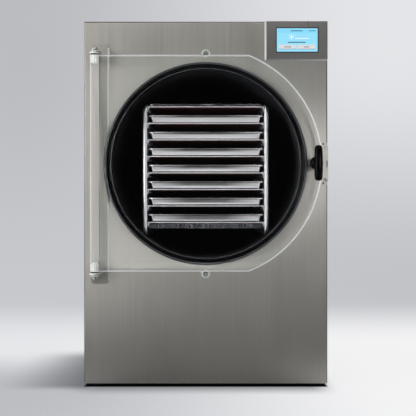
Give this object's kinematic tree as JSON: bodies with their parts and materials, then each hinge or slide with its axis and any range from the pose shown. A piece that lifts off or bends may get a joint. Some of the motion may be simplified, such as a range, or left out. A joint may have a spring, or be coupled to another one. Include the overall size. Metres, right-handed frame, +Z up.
{
  "type": "freeze dryer",
  "caption": "Stainless freeze dryer: a heated rack of trays in a round vacuum chamber, behind a clear hinged door with a T-handle latch.",
  "frame": {"origin": "middle of the machine's footprint, door handle and rear fittings included, on the floor", "axes": "+Z up, +X to the right as seen from the door, +Y towards the rear"},
  "size_m": [0.62, 0.8529, 0.93],
  "materials": {
    "grained_steel": "brushed sheet, fine vertical grain",
    "folded_steel": "bead-blasted steel plate",
    "zinc_steel": "galvanised sheet",
    "bright_steel": "bright rolled stainless sheet",
    "black_epoxy": "black epoxy coat, satin",
    "polished_steel": "polished turned stainless",
    "black_rubber": "extruded black silicone rubber",
    "foot_rubber": "moulded rubber",
    "clear_acrylic": "clear cast acrylic, polished edges",
    "black_moulding": "moulded black nylon, satin",
    "screen_glass": "lit display under glass",
    "circuit_board": "green solder mask",
    "soft_copper": "drawn copper tube",
    "foam": "closed-cell foam",
    "foil": "crinkled aluminium foil over insulation",
    "silicone_mat": "red silicone heater mat",
    "black_paint": "black gloss paint on drawn steel",
    "aluminium": "mill aluminium",
    "brass": "turned brass",
    "red_grip": "red dipped grip"
  },
  "bodies": {
    "cabinet": {"base_pan": "zinc_steel", "feet": "foot_rubber", "front_panel": "grained_steel", "cabinet_cover": "grained_steel", "rear_panel": "grained_steel", "front_cradle": "zinc_steel", "rear_cradle": "zinc_steel", "control_cover": "grained_steel", "screen_frame": "black_moulding", "touch_screen": "screen_glass", "control_board": "circuit_board", "vacuum_chamber": "black_epoxy", "door_gasket": "black_rubber", "evaporator_coil": "soft_copper", "chamber_insulation": "foam", "vacuum_sensor": "polished_steel", "heater_plug": "black_moulding", "hinge_bracket": "folded_steel", "hinge_pins": "polished_steel", "latch_keeper": "grained_steel", "rest_studs": "polished_steel", "flange_nuts": "polished_steel", "rack_left_side": "bright_steel", "rack_right_side": "bright_steel", "rack_screws": "polished_steel", "top_foil": "foil", "bottom_foil": "foil", "heater_mats": "silicone_mat", "compressor": "black_paint", "condenser": "aluminium", "fan_shroud": "zinc_steel", "fan_motor": "aluminium", "refrigerant_lines": "soft_copper", "drain_pipe": "polished_steel", "drain_valve": "brass", "power_inlet": "black_moulding", "pump_outlet": "black_moulding", "shelf_1": "bright_steel", "shelf_2": "bright_steel", "shelf_3": "bright_steel", "shelf_4": "bright_steel", "shelf_5": "bright_steel", "shelf_6": "bright_steel", "shelf_7": "bright_steel", "shelf_8": "bright_steel", "tray_1": "bright_steel", "tray_2": "bright_steel", "tray_3": "bright_steel", "tray_4": "bright_steel", "tray_5": "bright_steel", "tray_6": "bright_steel", "tray_7": "bright_steel"},
    "door": {"door_panel": "clear_acrylic", "hinge_bushings": "polished_steel"},
    "latch": {"door_handle": "black_moulding", "latch_shaft": "polished_steel", "latch_cam": "polished_steel"},
    "fan": {"fan_rotor": "aluminium"},
    "valve_lever": {"drain_lever": "red_grip"},
    "rocker": {"power_rocker": "black_moulding"}
  },
  "joints": [
    {"name": "door_hinge", "type": "hinge", "parent": "cabinet", "child": "door", "pos_m": [-0.278, -0.354, 0.567], "axis": [0, 0, -1], "range_deg": [0, 160]},
    {"name": "latch_turn", "type": "hinge", "parent": "door", "child": "latch", "pos_m": [0.277, -0.3665, 0.567], "axis": [0, 1, 0], "range_deg": [0, 180]},
    {"name": "fan_spin", "type": "hinge", "parent": "cabinet", "child": "fan", "pos_m": [-0.2305, -0.0195, 0.1475], "axis": [1, 0, 0], "continuous": true},
    {"name": "drain_lever_turn", "type": "hinge", "parent": "cabinet", "child": "valve_lever", "pos_m": [0, 0.3925, 0.147], "axis": [0, 0, 1], "range_deg": [0, 90]},
    {"name": "power_rocker_tilt", "type": "hinge", "parent": "cabinet", "child": "rocker", "pos_m": [0.19, 0.3655, 0.136], "axis": [-1, 0, 0], "range_deg": [0, 16]}
  ]
}
